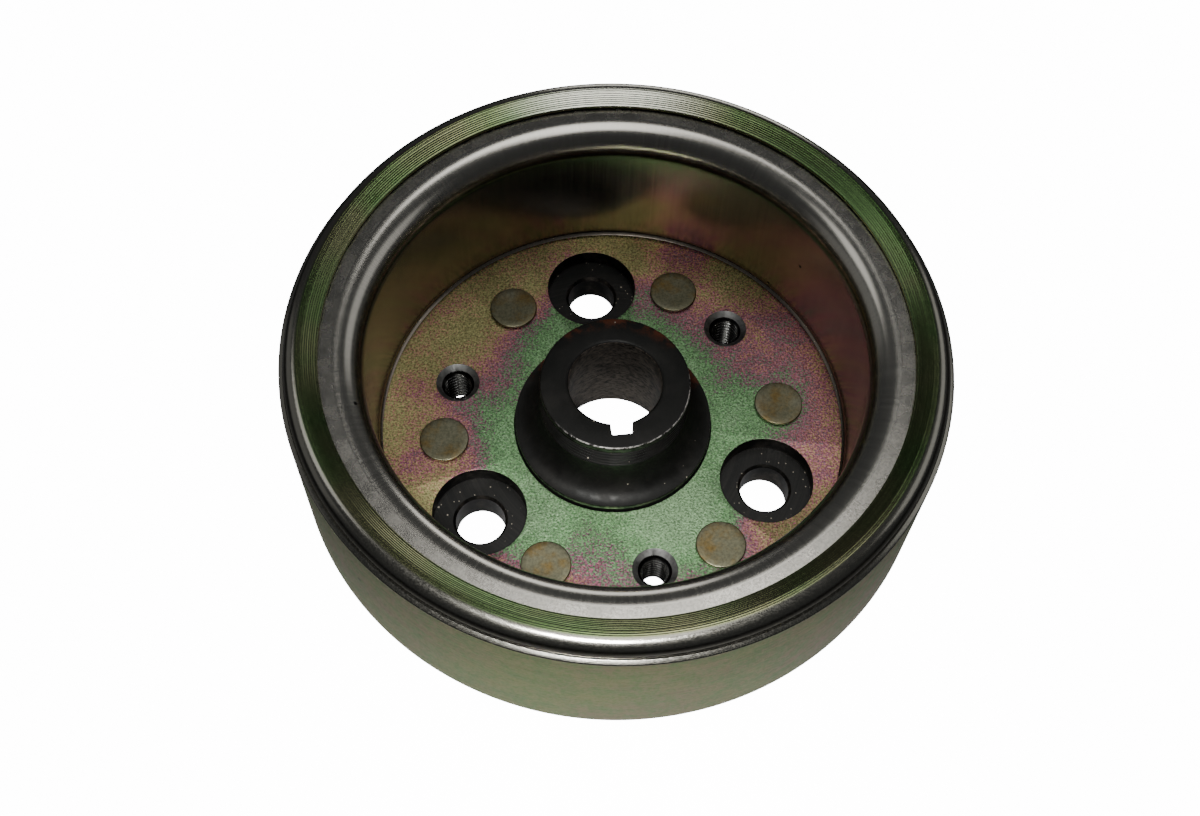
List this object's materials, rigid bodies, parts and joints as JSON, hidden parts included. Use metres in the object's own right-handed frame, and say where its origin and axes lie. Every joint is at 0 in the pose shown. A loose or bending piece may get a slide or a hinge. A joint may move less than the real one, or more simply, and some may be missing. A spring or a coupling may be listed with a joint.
{
  "type": "magneto flywheel",
  "caption": "Cup-shaped magneto flywheel with a riveted hub, tapered keyed bore, lined magnets and counterbored clutch screw holes.",
  "frame": {"origin": "on the bore axis, at the hub's back face, which is the lowest face", "axes": "+Z along the bore axis, out of the open side of the cup; a screw hole at 100.9 degrees and the keyway at -79.2 degrees from +X"},
  "size_m": [0.1146, 0.1146, 0.041],
  "materials": {
    "yellow_zinc": "iridescent yellow-chromate zinc plate, satin, with turned grooves on the rim",
    "black_oxide": "oiled black oxide on turned steel",
    "stainless": "plain drawn stainless, satin",
    "rivet_steel": "dull plated steel",
    "ferrite": "sintered ferrite, matt",
    "nylon": "moulded black nylon"
  },
  "bodies": {
    "root": {"rotor_shell": "yellow_zinc", "hub": "black_oxide", "magnet_liner": "stainless", "magnet_cage": "nylon", "rivet_1": "rivet_steel", "rivet_2": "rivet_steel", "rivet_3": "rivet_steel", "rivet_4": "rivet_steel", "rivet_5": "rivet_steel", "rivet_6": "rivet_steel", "magnet_1": "ferrite", "magnet_2": "ferrite", "magnet_3": "ferrite", "magnet_4": "ferrite", "magnet_5": "ferrite", "magnet_6": "ferrite", "magnet_7": "ferrite", "magnet_8": "ferrite", "magnet_9": "ferrite", "magnet_10": "ferrite", "magnet_11": "ferrite", "magnet_12": "ferrite"}
  },
  "joints": []
}
